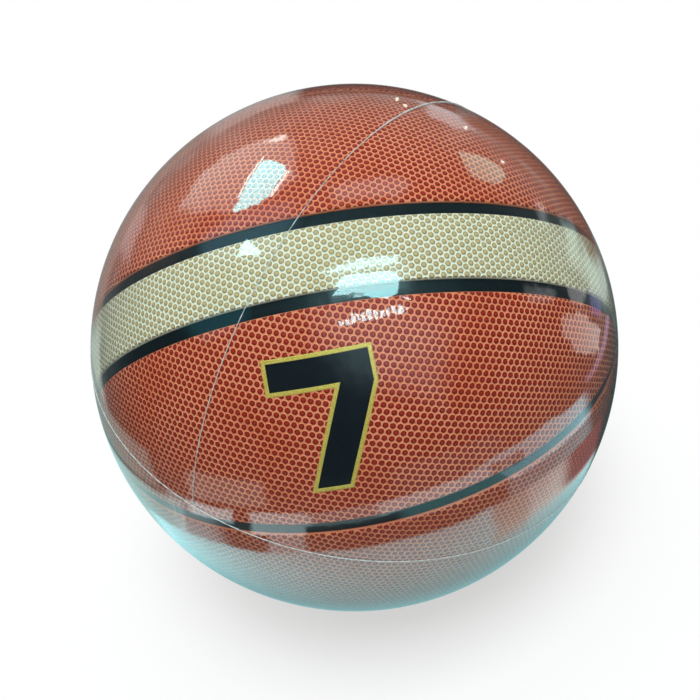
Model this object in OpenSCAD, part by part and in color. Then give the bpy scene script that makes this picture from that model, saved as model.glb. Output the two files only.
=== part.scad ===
// Laminated basketball in two colours, in its clear shrink film.
// The origin is the middle of the ball. +Z is up, square to the level channel, -Y faces the front ovals
// and +Y runs out through the valve. Lengths are in millimetres, angles in degrees.

/* [Ball] */
// Diameter over the cover panels
ball_d = 241; // [230:0.5:250]
// Thickness of the pebbled skin of a panel
skin_t = 1.5; // [1.2:0.1:2]
// Thickness of the foam underlay glued under each skin
foam_t = 1; // [0.8:0.1:2]
// Thickness of the moulded rubber carcass, without its ribs
carcass_t = 1; // [0.8:0.1:2]
// Thickness of the wound thread layer
winding_t = 0.6; // [0.5:0.1:1.5]
// Wall of the air bladder
bladder_t = 0.9; // [0.6:0.1:1.6]
// Glue line between two layers
glue_t = 0.1; // [0.05:0.05:0.2]

/* [Channels] */
// Width of the black channels between the panels
channel_w = 4.6; // [3.5:0.1:6]
// How far the floor of a channel lies below the panels
channel_drop = 0.8; // [0.5:0.1:1.1]
// How deep the bevel along a panel's edge is
edge_drop = 0.6; // [0.4:0.1:1]
// How wide the bevel along a panel's edge is
edge_run = 0.9; // [0.4:0.1:1.5]
// Play between a panel and the rib beside it
rib_play = 0.1; // [0.05:0.05:0.3]

/* [Panel layout] */
// Latitude of the oval channel, midway along its long side
oval_lat = 38.5; // [34:0.5:42]
// Longitude at which the oval channel crosses the level channel
oval_lon = 72.5; // [70:0.5:76]
// Angular radius of the oval's long side
oval_angle = 81.9; // [80:0.1:84]
// Latitude of the crown channel, midway along it
crown_lat = 51.8; // [48:0.1:56]
// Angular radius of the crown channel
crown_angle = 81.5; // [78:0.5:84]

/* [Valve] */
// Radius of the rubber boss that the valve comes out of
boss_r = 5.5; // [5:0.1:7]
// Radius of the valve stem
stem_r = 3.8; // [3.5:0.1:4.2]
// Radius of the flange inside the bladder
flange_r = 11; // [8:0.5:14]
// Thickness of the flange
flange_t = 1.4; // [1:0.1:2]
// Radius of the reinforcing pad between flange and bladder
pad_r = 15; // [12:0.5:20]
// Thickness of the reinforcing pad
pad_t = 0.8; // [0.5:0.1:1.2]
// Length of the valve below the boss
stem_len = 20; // [16:0.5:24]
// Radius of the plug in the valve
plug_r = 2.2; // [2:0.1:2.5]
// Radius of the hole that takes the pump needle
needle_r = 1.25; // [1:0.05:1.4]
// Depth of the needle hole
needle_len = 9; // [6:0.5:11]

/* [Shrink film] */
// Thickness of the film
film_t = 0.3; // [0.25:0.05:0.5]
// Room between the panels and the film, which the pebbles fill
film_gap = 0.35; // [0.25:0.05:0.6]
// Radius of the bead along the level weld
weld_r = 0.45; // [0.35:0.05:0.7]
// Radius of the bead along the upright weld
cross_weld_r = 0.35; // [0.3:0.05:0.6]
// Latitude of the pole of the level weld
level_weld_lat = 67; // [55:1:80]
// Longitude of the pole of the level weld
level_weld_lon = 69; // [50:1:90]
// Latitude of the pole of the upright weld
upright_weld_lat = -23; // [-35:1:-10]
// Longitude of the pole of the upright weld
upright_weld_lon = 58; // [45:1:75]
// Radius of the vent hole over the valve
vent_r = 4; // [3:0.5:5]

/* [Hidden] */
$fn = 120;
// Play of the valve parts in one another
valve_play = 0.05;
// Width of the lip under the valve plug's head
plug_lip = 0.8;
// Depth of the valve plug's head
plug_head_t = 1;
// How far the plug's barb stands out of its shank
barb_step = 0.5;
// Height of the plug's barb
barb_h = 3;
// Room between the plug's barb and the closed end of the stem
barb_floor = 1.5;
// Depth of the cone that leads the needle in
lead_in = 0.8;
// How far the valve sits below the top of its boss
valve_recess = 0.2;
// Overrun of every cut
over = 2;
// Extra angular radius of an oval's ends
ease_angle = 0.5;
// How much one bevel is deeper than the next, so that their edges cross and don't coincide
drop_step = 0.05;

ball_r = ball_d / 2;
skin_in = ball_r - skin_t;
foam_out = skin_in - glue_t;
foam_in = foam_out - foam_t;
carcass_out = foam_in - glue_t;
carcass_in = carcass_out - carcass_t;
winding_out = carcass_in - glue_t;
winding_in = winding_out - winding_t;
bladder_out = winding_in - glue_t;
bladder_in = bladder_out - bladder_t;
pad_out = bladder_in - glue_t;
pad_in = pad_out - pad_t;
flange_out = pad_in - glue_t;
flange_in = flange_out - flange_t;
rib_top = ball_r - channel_drop;
film_in = ball_r + film_gap;
film_out = film_in + film_t;
half_w = channel_w / 2;
// How far out walls and cuts reach, and the two radii of the thick ring that an oval is cut with
reach_r = film_out + over;
cut_out = film_out + over / 2;
cut_in = bladder_in;

// Latitude of the pole about which an oval's long side turns, below the level channel
side_pole = oval_angle - oval_lat;
// Angular radius of an oval's end, so that it runs into the long sides without a kink
end_angle = atan(
    (cos(side_pole) * cos(oval_lon) - cos(oval_angle))
    / (sin(oval_angle) - cos(side_pole) * sin(oval_lon))
);
// Half the sweep of an oval's end about its pole
end_sweep = atan(tan(side_pole) / sin(oval_lon - end_angle));
// Angular radius to which an oval's end is cut, a little wider, so that the two cuts cross
cut_angle = end_angle + ease_angle;
// Latitude of the pole about which the crown channel turns, on the far side of the ball
crown_pole = 180 - crown_lat - crown_angle;

// Depth of the bevel beside the level channel, the long sides and the ends, where bevels meet
level_drop = edge_drop + drop_step;
side_drop = level_drop + drop_step;
end_drop = side_drop + drop_step;

// Height of the valve's mouth, and of the closed end of its stem, from the middle of the ball
valve_top = rib_top - valve_recess;
stem_end = valve_top - stem_len;
barb_low = stem_end + barb_floor;
barb_r = plug_r + barb_step;
head_r = plug_r + plug_lip;

SHAPES = ["oval", "band", "crown"];

// Unit vector at a latitude and longitude. Longitude 0 is the front and 90 the right.
function place(lat, lon) = [cos(lat) * sin(lon), -cos(lat) * cos(lon), sin(lat)];

// Angle at which a point lies round a pole, from north and positive towards the west.
function bearing(point, lat, lon) = atan2(
    -point * [cos(lon), sin(lon), 0],
    point * [-sin(lat) * sin(lon), sin(lat) * cos(lon), cos(lat)]
);

// Turns what is drawn about the Z axis so that it is about the pole at this place.
module about_pole(lat, lon) {
    rotate([0, 0, lon]) rotate([90 - lat, 0, 0]) rotate([0, 0, 90]) children();
}

// Sweeps a profile about a pole between two bearings.
module sweep(lat, lon, from, to) {
    about_pole(lat, lon) rotate([0, 0, from]) rotate_extrude(angle = to - from) children();
}

// The part of the plane that a profile may use, away from the axis of its sweep.
module right_half(size) {
    translate([0, -size]) square([size, 2 * size]);
}

// Points of a wall, from the far side of the ball's middle out to a distance from it.
function wall_points(shift, lean, drop, out) = [
    [-2 * reach_r, shift],
    [ball_r - drop, shift],
    [out, shift + lean * (out - ball_r + drop) / drop]
];

// Section of everything on the pole's side of a wall that runs beside the channel at this polar angle.
// The wall stands off the channel's middle line by shift, and leans over by lean where it meets the cover.
module inside_section(polar, shift, lean, drop, out) {
    intersection() {
        right_half(2 * reach_r);
        rotate(90 - polar) polygon(concat(
            wall_points(shift, lean, drop, out),
            [[out, 2 * reach_r], [-2 * reach_r, 2 * reach_r]]
        ));
    }
}

// Section of everything on the far side of such a wall.
module outside_section(polar, shift, lean, drop, out) {
    intersection() {
        right_half(2 * reach_r);
        rotate(90 - polar) polygon(concat(
            wall_points(shift, lean, drop, out),
            [[out, -2 * reach_r], [-2 * reach_r, -2 * reach_r]]
        ));
    }
}

// Ring between two spheres.
module ring(outer, inner) {
    difference() {
        circle(outer);
        circle(inner);
    }
}

// Everything above a wall beside the level channel.
module above_level(shift, lean) {
    rotate_extrude() inside_section(90, shift, lean, level_drop, reach_r);
}

// Everything in front of a wall beside the upright channel.
module before_upright(shift, lean) {
    rotate([90, 0, 0]) rotate_extrude() inside_section(90, shift, lean, edge_drop, reach_r);
}

// Everything beyond one of an oval's two ends, on the right for side 1 and on the left for side -1.
module beyond_end(side, shift, lean) {
    middle = -side * 90;
    sweep(0, side * (oval_lon - cut_angle), middle - end_sweep, middle + end_sweep)
        outside_section(cut_angle, shift, lean, end_drop, reach_r + over);
}

// Thick ring that fills an oval: its long sides are one cut, and its two ends are rounded off.
module inside_oval(shift, lean) {
    difference() {
        sweep(-side_pole, 0, 0, 360) intersection() {
            ring(cut_out, cut_in);
            inside_section(oval_angle, shift, lean, side_drop, reach_r);
        }
        for (side = [-1, 1]) beyond_end(side, shift, lean);
    }
}

// Front upper half of an oval.
module half_oval(outer, inner, inset, lean) {
    intersection() {
        above_level(inset, lean);
        sweep(-side_pole, 0, 0, 360) intersection() {
            right_half(2 * reach_r);
            ring(outer, inner);
        }
        inside_oval(inset, lean);
    }
}

// Front upper band, between the oval and the crown channel.
module half_band(outer, inner, inset, lean) {
    difference() {
        intersection() {
            above_level(inset, lean);
            before_upright(inset, lean);
            sweep(crown_pole, 180, 0, 360) intersection() {
                ring(outer, inner);
                outside_section(crown_angle, -inset, -lean, side_drop, reach_r);
            }
        }
        inside_oval(-inset, -lean);
    }
}

// Front upper crown piece, between the crown channel and the upright channel.
module half_crown(outer, inner, inset, lean) {
    intersection() {
        above_level(inset, lean);
        before_upright(inset, lean);
        sweep(crown_pole, 180, 0, 360) intersection() {
            ring(outer, inner);
            inside_section(crown_angle, inset, lean, side_drop, reach_r);
        }
    }
}

// One of the three panel shapes, in the front upper quarter.
module panel_shape(shape, outer, inner, inset, lean) {
    if (shape == "oval") half_oval(outer, inner, inset, lean);
    if (shape == "band") half_band(outer, inner, inset, lean);
    if (shape == "crown") half_crown(outer, inner, inset, lean);
}

// Carries a front upper shape to its own quarter of the ball.
module quarter(back, lower) {
    mirror([0, back ? 1 : 0, 0]) mirror([0, 0, lower ? 1 : 0]) children();
}

// Cylinder along the valve's axis, from one distance from the middle of the ball to another.
module valve_bore(r, from, to) {
    rotate([-90, 0, 0]) translate([0, 0, from]) cylinder(r = r, h = to - from);
}

// Pebbled skin of a panel, its edge bevelled.
module panel(shape, back, lower) {
    color(shape == "band" ? "#d9cf9f" : "#b8452a") difference() {
        quarter(back, lower) panel_shape(shape, ball_r, skin_in, half_w, edge_run);
        if (back && shape == "oval") valve_bore(boss_r + rib_play, bladder_in, reach_r);
    }
}

// Foam underlay of a panel.
module foam(shape, back, lower) {
    color("#e9e6dc") difference() {
        quarter(back, lower) panel_shape(shape, foam_out, foam_in, half_w, 0);
        if (back && shape == "oval") valve_bore(boss_r + rib_play, bladder_in, reach_r);
    }
}

// Moulded rubber carcass: the ribs that fill the channels stand between twelve pockets for the panels,
// and a boss carries the valve.
module carcass() {
    color("#15181a") difference() {
        union() {
            difference() {
                sphere(rib_top);
                sphere(carcass_in);
                for (back = [false, true]) for (lower = [false, true]) for (shape = SHAPES)
                    quarter(back, lower) panel_shape(shape, ball_r, carcass_out, half_w - rib_play, 0);
            }
            valve_bore(boss_r, carcass_out - carcass_t / 2, rib_top);
        }
        valve_bore(stem_r + valve_play, bladder_in, reach_r);
    }
}

// A closed layer inside the carcass, with a hole for the valve.
module layer(outer, inner) {
    difference() {
        sphere(outer);
        sphere(inner);
        valve_bore(stem_r + valve_play, inner - over, reach_r);
    }
}

module thread_winding() {
    color("#e4dcc4") layer(winding_out, winding_in);
}

module air_bladder() {
    color("#2b2b2e") layer(bladder_out, bladder_in);
}

// A round piece of shell about the valve's axis.
module valve_disc(outer, inner, r) {
    intersection() {
        difference() {
            sphere(outer);
            sphere(inner);
        }
        valve_bore(r, 0, reach_r);
    }
}

module valve_pad() {
    color("#3a3a3d") difference() {
        valve_disc(pad_out, pad_in, pad_r);
        valve_bore(stem_r + valve_play, 0, reach_r);
    }
}

// Rubber stem with its flange. The plug's chamber widens below, so that the barb can't pull out.
module valve_stem() {
    color("#1d1f21") difference() {
        union() {
            valve_disc(flange_out, flange_in, flange_r);
            valve_bore(stem_r, stem_end, valve_top);
        }
        valve_bore(plug_r + valve_play, barb_low, reach_r);
        valve_bore(barb_r + valve_play, barb_low - valve_play, barb_low + barb_h + valve_play);
        valve_bore(head_r + valve_play, valve_top - plug_head_t - valve_play, reach_r);
    }
}

// Self-sealing rubber plug: a head, a shank with the needle's hole, and a barb with a blunt point.
module valve_plug() {
    color("#101112") difference() {
        rotate([-90, 0, 0]) rotate_extrude() polygon([
            [0, barb_low],
            [barb_r - barb_step, barb_low],
            [barb_r, barb_low + barb_h / 2],
            [barb_r, barb_low + barb_h],
            [plug_r, barb_low + barb_h],
            [plug_r, valve_top - plug_head_t],
            [head_r, valve_top - plug_head_t],
            [head_r, valve_top],
            [0, valve_top]
        ]);
        valve_bore(needle_r, valve_top - needle_len, reach_r);
        rotate([-90, 0, 0]) translate([0, 0, valve_top - lead_in])
            cylinder(r1 = needle_r, r2 = needle_r + lead_in / 2, h = lead_in);
    }
}

// Bead along a weld of the film, about the pole at this place.
module weld_bead(r, lat, lon, from, to) {
    sweep(lat, lon, from, to) translate([film_out, 0]) circle(r);
}

// Clear film, with the weld that runs all round it, the weld that crosses it, and a vent hole.
module shrink_film() {
    level_pole = place(level_weld_lat, level_weld_lon);
    upright_pole = place(upright_weld_lat, upright_weld_lon);
    crossing = cross(upright_pole, level_pole);
    start = bearing(crossing, upright_weld_lat, upright_weld_lon);
    color([0.85, 0.93, 0.95, 0.25]) difference() {
        union() {
            sphere(film_out);
            weld_bead(weld_r, level_weld_lat, level_weld_lon, 0, 360);
            weld_bead(cross_weld_r, upright_weld_lat, upright_weld_lon, start - 180, start);
        }
        sphere(film_in);
        valve_bore(vent_r, 0, reach_r + over);
    }
}

panel("oval", false, false);  // front_upper_oval_panel
panel("band", false, false);  // front_upper_band_panel
panel("crown", false, false);  // front_upper_crown_panel
panel("oval", false, true);  // front_lower_oval_panel
panel("band", false, true);  // front_lower_band_panel
panel("crown", false, true);  // front_lower_crown_panel
panel("oval", true, false);  // back_upper_oval_panel
panel("band", true, false);  // back_upper_band_panel
panel("crown", true, false);  // back_upper_crown_panel
panel("oval", true, true);  // back_lower_oval_panel
panel("band", true, true);  // back_lower_band_panel
panel("crown", true, true);  // back_lower_crown_panel
foam("oval", false, false);  // front_upper_oval_foam
foam("band", false, false);  // front_upper_band_foam
foam("crown", false, false);  // front_upper_crown_foam
foam("oval", false, true);  // front_lower_oval_foam
foam("band", false, true);  // front_lower_band_foam
foam("crown", false, true);  // front_lower_crown_foam
foam("oval", true, false);  // back_upper_oval_foam
foam("band", true, false);  // back_upper_band_foam
foam("crown", true, false);  // back_upper_crown_foam
foam("oval", true, true);  // back_lower_oval_foam
foam("band", true, true);  // back_lower_band_foam
foam("crown", true, true);  // back_lower_crown_foam
carcass();
thread_winding();
air_bladder();
valve_pad();
valve_stem();
valve_plug();
shrink_film();
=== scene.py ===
"""Dresses the solids of a laminated basketball that lies in its clear shrink film.

Sizes are in millimetres and degrees, and MM turns them into metres where a mesh is made. The middle of
the ball is the origin, +Z is up, -Y faces the front ovals and +Y runs out through the valve.
"""

from __future__ import annotations

import logging
import math
from collections.abc import Callable, Iterable
from dataclasses import dataclass
from enum import Enum
from functools import reduce

import bpy
import numpy as np
from mathutils import Matrix, Vector
from mathutils.geometry import delaunay_2d_cdt


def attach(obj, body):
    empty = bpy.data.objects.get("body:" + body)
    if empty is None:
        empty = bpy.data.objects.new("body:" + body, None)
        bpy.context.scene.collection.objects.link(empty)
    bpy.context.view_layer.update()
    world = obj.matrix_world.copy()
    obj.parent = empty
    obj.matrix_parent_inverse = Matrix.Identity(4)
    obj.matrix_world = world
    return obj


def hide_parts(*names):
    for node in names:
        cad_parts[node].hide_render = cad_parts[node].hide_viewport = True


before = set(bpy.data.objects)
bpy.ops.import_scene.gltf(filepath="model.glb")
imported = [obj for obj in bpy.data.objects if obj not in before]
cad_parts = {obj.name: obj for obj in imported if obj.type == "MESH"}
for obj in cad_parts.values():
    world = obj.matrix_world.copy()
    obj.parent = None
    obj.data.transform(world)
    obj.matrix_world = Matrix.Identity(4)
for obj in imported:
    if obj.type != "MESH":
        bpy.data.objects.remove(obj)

logging.basicConfig(level=logging.INFO, format="%(message)s")
LOG = logging.getLogger("basketball")

Array = np.ndarray
Colour = tuple[float, float, float, float]
Arc = tuple[float, float, float, float]
Piece = bpy.types.Object
Socket = bpy.types.NodeSocket
MM = 0.001
WHITE = (1.0, 1.0, 1.0, 1.0)


def place(lat: float, lon: float) -> Array:
    """Unit vector at a latitude and a longitude in degrees: (cos lat sin lon, -cos lat cos lon, sin lat)."""
    a, o = math.radians(lat), math.radians(lon)
    return np.array([math.cos(a) * math.sin(o), -math.cos(a) * math.cos(o), math.sin(a)])


def srgb(code: str) -> Colour:
    """Linear colour of a six-digit hex code by the sRGB curve, with an alpha of 1."""
    parts = [int(code[i:i + 2], 16) / 255 for i in (0, 2, 4)]
    return (*(p / 12.92 if p <= 0.04045 else ((p + 0.055) / 1.055) ** 2.4 for p in parts), 1.0)


def smooth(low: float, high: float, x: Array) -> Array:
    """Smooth step: 0 below low, 1 above high, and 3t^2 - 2t^3 of the share t between them."""
    t = np.clip((x - low) / (high - low), 0, 1)
    return t * t * (3 - 2 * t)


def turned(x: Array, y: Array, angle: float) -> tuple[Array, Array]:
    """x and y turned anticlockwise by an angle in degrees: x cos - y sin and x sin + y cos."""
    c, s = math.cos(math.radians(angle)), math.sin(math.radians(angle))
    return x * c - y * s, x * s + y * c


def unit(way: Array) -> Array:
    """A vector's direction: the vector over its length."""
    return way / np.linalg.norm(way)


def axes(pole: Array, start: Array | None = None) -> tuple[Array, Array]:
    """Directions square to a pole: e1, level or towards a start point, and e2 = pole x e1."""
    e1 = unit(np.cross([0.0, 0.0, 1.0], pole) if start is None else start - (start @ pole) * pole)
    return e1, np.cross(pole, e1)


def on_circle(pole: Array, r: float, t: Array, square: tuple[Array, Array]) -> Array:
    """Points cos(r) pole + sin(r) (cos(t) e1 + sin(t) e2), one row for each t."""
    e1, e2 = square
    return math.cos(r) * pole + math.sin(r) * (np.cos(t)[:, None] * e1 + np.sin(t)[:, None] * e2)


# Sizes of the ball


@dataclass(frozen=True)
class BallSizes:
    """Radii and channel sizes of the solids, in millimetres, and the cover's layout, in degrees."""

    ball_r: float = 120.5
    skin_in: float = 119.0
    film_in: float = 120.85
    film_out: float = 121.15
    half_w: float = 2.3
    notch_r: float = 5.6
    vent_r: float = 4.0
    oval_lat: float = 38.5
    oval_lon: float = 72.5
    oval_angle: float = 81.9
    crown_lat: float = 51.8
    crown_angle: float = 81.5

    @property
    def side_pole(self) -> float:
        """Latitude, below the level channel, of the pole of an oval's long side."""
        return self.oval_angle - self.oval_lat

    @property
    def end_angle(self) -> float:
        """Angular radius of an oval's end that runs into the long side without a kink.

        Its tangent is (k cos L - cos S) / (sin S - k sin L), with k the cosine of the long side's pole
        latitude, L the longitude where the oval meets the level channel and S the long side's radius.

        Returns:
            The radius, in degrees.
        """
        k = math.cos(math.radians(self.side_pole))
        lon, side = math.radians(self.oval_lon), math.radians(self.oval_angle)
        top = k * math.cos(lon) - math.cos(side)
        return math.degrees(math.atan2(top, math.sin(side) - k * math.sin(lon)))

    @property
    def crown_pole(self) -> float:
        """Latitude, at the back, of the pole of the crown channel."""
        return 180 - self.crown_lat - self.crown_angle


BALL = BallSizes()


# Outlines of the panels on the ball


@dataclass(frozen=True)
class Wall:
    """A wall beside a channel: the circle about a pole, moved off the channel's middle line.

    Attributes:
        pole: unit vector of the circle's pole.
        polar: angular radius of the channel's middle line, in degrees.
        side: 1 where the panel lies inside the circle, -1 where it lies outside.
        gap: distance from the middle line to the wall, in millimetres.
    """

    pole: tuple[float, float, float]
    polar: float
    side: int
    gap: float

    def radius(self, inset: float) -> float:
        """Angular radius of the wall moved into the panel by inset millimetres, in radians."""
        return math.radians(self.polar) - self.side * (self.gap + inset) / BALL.ball_r

    def distance(self, points: Array) -> Array:
        """Arc from the wall into the panel: side (polar - angle from the pole) R - gap."""
        angle = np.arccos(np.clip(points @ np.array(self.pole), -1, 1))
        return self.side * (math.radians(self.polar) - angle) * BALL.ball_r - self.gap

    def heading(self, point: Array) -> Array:
        """Direction of travel along the wall with the panel on the left: side times pole cross point."""
        return self.side * np.cross(np.array(self.pole), point)

    def run(self, start: Array, end: Array, inset: float, step: float) -> Array:
        """Points along the moved wall from one corner up to the next, without that one.

        The circle is cos(r) pole + sin(r) (cos(t) e1 + sin(t) e2), with e1 towards the start and t from
        0 to the sweep, which turns anticlockwise about the pole for side 1 and clockwise for side -1.

        Args:
            start: unit vector of the corner where the wall starts.
            end: unit vector of the corner where it ends.
            inset: how far the wall is moved into the panel, in millimetres.
            step: largest distance between points, in millimetres.

        Returns:
            Unit vectors, one row each.
        """
        pole = np.array(self.pole)
        e1, e2 = axes(pole, start)
        sweep = self.side * ((self.side * math.atan2(end @ e2, end @ e1)) % math.tau)
        r = self.radius(inset)
        count = max(2, math.ceil(abs(sweep) * math.sin(r) * BALL.ball_r / step))
        return on_circle(pole, r, np.linspace(0, sweep, count, endpoint=False), (e1, e2))


def corner(a: Wall, b: Wall, inset: float) -> Array:
    """Corner where travel along one moved wall turns left into the next.

    A point x with x.p = cos(ra) and x.q = cos(rb) is alpha p + beta q + gamma (p cross q). Of the two
    signs of gamma the one is taken where the headings' cross product points outwards.

    Args:
        a: wall that ends at the corner.
        b: wall that starts there.
        inset: how far both are moved into the panel, in millimetres.

    Returns:
        Unit vector of the corner.
    """
    p, q = np.array(a.pole), np.array(b.pole)
    ca, cb, k = math.cos(a.radius(inset)), math.cos(b.radius(inset)), float(p @ q)
    base = ((ca - k * cb) * p + (cb - k * ca) * q) / (1 - k * k)
    across = np.cross(p, q)
    gamma = math.sqrt(max(0.0, 1 - float(base @ base)) / float(across @ across))
    found = [base + gamma * across, base - gamma * across]
    turns = [float(np.cross(a.heading(x), b.heading(x)) @ x) for x in found]
    return found[int(np.argmax(turns))]


class PanelKind(Enum):
    """The cover's panel shapes, each with the tilt of the strip of the ball that it lies along."""

    OVAL = 19.0
    NOTCHED_OVAL = 19.001
    BAND = 45.0
    CROWN = 71.0


@dataclass(frozen=True)
class Outline:
    """Outline of a panel in the front upper quarter, and how far points lie inside it."""

    kind: PanelKind

    @property
    def level(self) -> Wall:
        """The wall above the level channel."""
        return Wall((0.0, 0.0, 1.0), 90.0, 1, BALL.half_w)

    @property
    def upright(self) -> Wall:
        """The wall in front of the upright channel."""
        return Wall((0.0, -1.0, 0.0), 90.0, 1, BALL.half_w)

    @property
    def notch(self) -> Wall:
        """The round notch about the valve's boss."""
        return Wall((0.0, -1.0, 0.0), 0.0, -1, BALL.notch_r)

    def oval_walls(self, side: int) -> list[Wall]:
        """The oval's right end, long side and left end, with the panel inside (1) or outside (-1).

        Args:
            side: 1 or -1.

        Returns:
            The three walls.
        """
        lon = BALL.oval_lon - BALL.end_angle
        ends = [Wall(tuple(place(0, s * lon)), BALL.end_angle, side, BALL.half_w) for s in (1, -1)]
        long_side = Wall(tuple(place(-BALL.side_pole, 0)), BALL.oval_angle, side, BALL.half_w)
        return [ends[0], long_side, ends[1]]

    def crown_wall(self, side: int) -> Wall:
        """The wall beside the crown channel, with the panel above it (1) or below it (-1)."""
        return Wall(tuple(place(BALL.crown_pole, 180)), BALL.crown_angle, side, BALL.half_w)

    def walls(self) -> list[Wall]:
        """The walls in the order in which they are met with the panel on the left.

        Returns:
            The walls, where one that is met twice stands in the list twice.
        """
        if self.kind is PanelKind.OVAL:
            return [*self.oval_walls(1), self.level]
        if self.kind is PanelKind.NOTCHED_OVAL:
            return [*self.oval_walls(1), self.level, self.notch, self.level]
        if self.kind is PanelKind.BAND:
            around = self.oval_walls(-1)[::-1]
            return [self.level, self.upright, self.crown_wall(-1), self.upright, self.level, *around]
        return [self.crown_wall(1), self.upright]

    def loop(self, inset: float, step: float) -> Array:
        """Closed loop round the panel, moved in by inset, from corner to corner.

        Args:
            inset: distance from the panel's edge, in millimetres.
            step: largest distance between points, in millimetres.

        Returns:
            Unit vectors in order, anticlockwise as seen from outside.
        """
        walls = self.walls()
        corners = [corner(walls[i - 1], walls[i], inset) for i in range(len(walls))]
        nexts = corners[1:] + corners[:1]
        runs = [w.run(a, b, inset, step) for w, a, b in zip(walls, corners, nexts)]
        return np.concatenate(runs)

    def in_oval(self, points: Array) -> Array:
        """Arc inside the oval channel's middle line, in millimetres.

        Beyond the great circle through the poles of the long side and of an end, the end's circle
        counts, and elsewhere the long side's. Left and right are alike, so x is taken as positive.

        Args:
            points: unit vectors, one row each.

        Returns:
            One distance for each point.
        """
        p = np.stack([np.abs(points[:, 0]), points[:, 1], points[:, 2]], 1)
        end, long_side = self.oval_walls(1)[:2]
        normal = np.cross(np.array(end.pole), np.array(long_side.pole))
        normal *= np.sign(normal @ place(0, 90))
        beyond = p @ normal > 0
        return np.where(beyond, end.distance(p), long_side.distance(p)) + BALL.half_w

    def inset(self, points: Array) -> Array:
        """Distance inside the panel's edge: the least of its distances from all its walls.

        Args:
            points: unit vectors, one row each.

        Returns:
            One distance for each point, in millimetres.
        """
        far = [self.level.distance(points)]
        if self.kind in (PanelKind.OVAL, PanelKind.NOTCHED_OVAL):
            far.append(self.in_oval(points) - BALL.half_w)
        if self.kind is PanelKind.NOTCHED_OVAL:
            far.append(self.notch.distance(points))
        if self.kind is PanelKind.BAND:
            far += [self.upright.distance(points), self.crown_wall(-1).distance(points)]
            far.append(-self.in_oval(points) - BALL.half_w)
        if self.kind is PanelKind.CROWN:
            far += [self.upright.distance(points), self.crown_wall(1).distance(points)]
        return np.minimum.reduce(far)


# Pebbles


@dataclass(frozen=True)
class Lattice:
    """Centred lattice of pebbles on a strip of the ball that is unrolled along its middle.

    Attributes:
        tilt: how far the strip's middle is tilted up from the level channel, in degrees.
        turn: how far the lattice is turned on the strip, in degrees.
        columns: distance between every second column, in millimetres.
        pitch: distance between pebbles in a column, in millimetres.
    """

    tilt: float
    turn: float
    columns: float = 4.24
    pitch: float = 2.62

    def unroll(self, points: Array) -> Array:
        """Lattice coordinates of points on the ball, in millimetres.

        The point is turned about X by the tilt, its longitude and latitude there times R are the
        distances along and across the strip, and these are turned by the lattice's angle.

        Args:
            points: unit vectors, one row each.

        Returns:
            Two coordinates for each point.
        """
        y, z = turned(points[:, 1], points[:, 2], self.tilt)
        along, across = np.arctan2(points[:, 0], -y), np.arcsin(np.clip(z, -1, 1))
        return np.stack(turned(along, across, -self.turn), 1) * BALL.ball_r

    def roll(self, flat: Array) -> Array:
        """Unit vectors of lattice coordinates, the steps of unroll taken backwards.

        Args:
            flat: lattice coordinates, one row each.

        Returns:
            One unit vector for each point.
        """
        lon, lat = turned(flat[:, 0] / BALL.ball_r, flat[:, 1] / BALL.ball_r, self.turn)
        y, z = turned(-np.cos(lat) * np.cos(lon), np.sin(lat), -self.tilt)
        return np.stack([np.cos(lat) * np.sin(lon), y, z], 1)

    def centres(self, low: Array, high: Array) -> Array:
        """Pebble centres in a rectangle: column i at i * columns / 2, odd columns up by half a pitch.

        Args:
            low: the least of each coordinate.
            high: the greatest of each.

        Returns:
            The centres, one row each.
        """
        i = np.arange(math.floor(low[0] * 2 / self.columns), math.ceil(high[0] * 2 / self.columns) + 1)
        j = np.arange(math.floor(low[1] / self.pitch) - 1, math.ceil(high[1] / self.pitch) + 1)
        i, j = np.meshgrid(i, j)
        u, v = i * self.columns / 2, (j + (i % 2) / 2) * self.pitch
        return np.stack([u.ravel(), v.ravel()], 1)

    def off_centre(self, flat: Array) -> Array:
        """Distance to the nearest pebble's centre: the lesser of those to two rectangular grids.

        Args:
            flat: lattice coordinates, one row each.

        Returns:
            One distance for each point.
        """
        w, h = self.columns, self.pitch
        first = np.hypot((flat[:, 0] + w / 2) % w - w / 2, (flat[:, 1] + h / 2) % h - h / 2)
        second = np.hypot(flat[:, 0] % w - w / 2, flat[:, 1] % h - h / 2)
        return np.minimum(first, second)


@dataclass(frozen=True)
class Pebble:
    """One raised dot of the cover, and the points that its mesh takes.

    Attributes:
        height: how far its top stands out, in millimetres.
        top_r: radius of its flat top.
        foot_r: radius at which it meets the ground.
        sides: points round its top and its foot.
    """

    height: float = 0.3
    top_r: float = 0.88
    foot_r: float = 1.2
    sides: int = 8

    def points(self, lattice: Lattice) -> Array:
        """Points of one cell about its centre: the centre, two rings and the two corners of its cell.

        Args:
            lattice: the lattice, which sets the cell's corners.

        Returns:
            The points, one row each.
        """
        w, h = lattice.columns, lattice.pitch
        t = np.arange(self.sides) * math.tau / self.sides
        ring = np.stack([np.cos(t), np.sin(t)], 1)
        corners = [[(w * w - h * h) / (4 * w), h / 2], [(w * w + h * h) / (4 * w), 0.0]]
        return np.concatenate([[[0.0, 0.0]], self.top_r * ring, self.foot_r * ring, corners])

    def rise(self, off: Array) -> Array:
        """Height at a distance from the centre, in millimetres, by a smooth step from foot to top."""
        return self.height * (1 - smooth(self.top_r * 0.94, self.foot_r, off))


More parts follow.
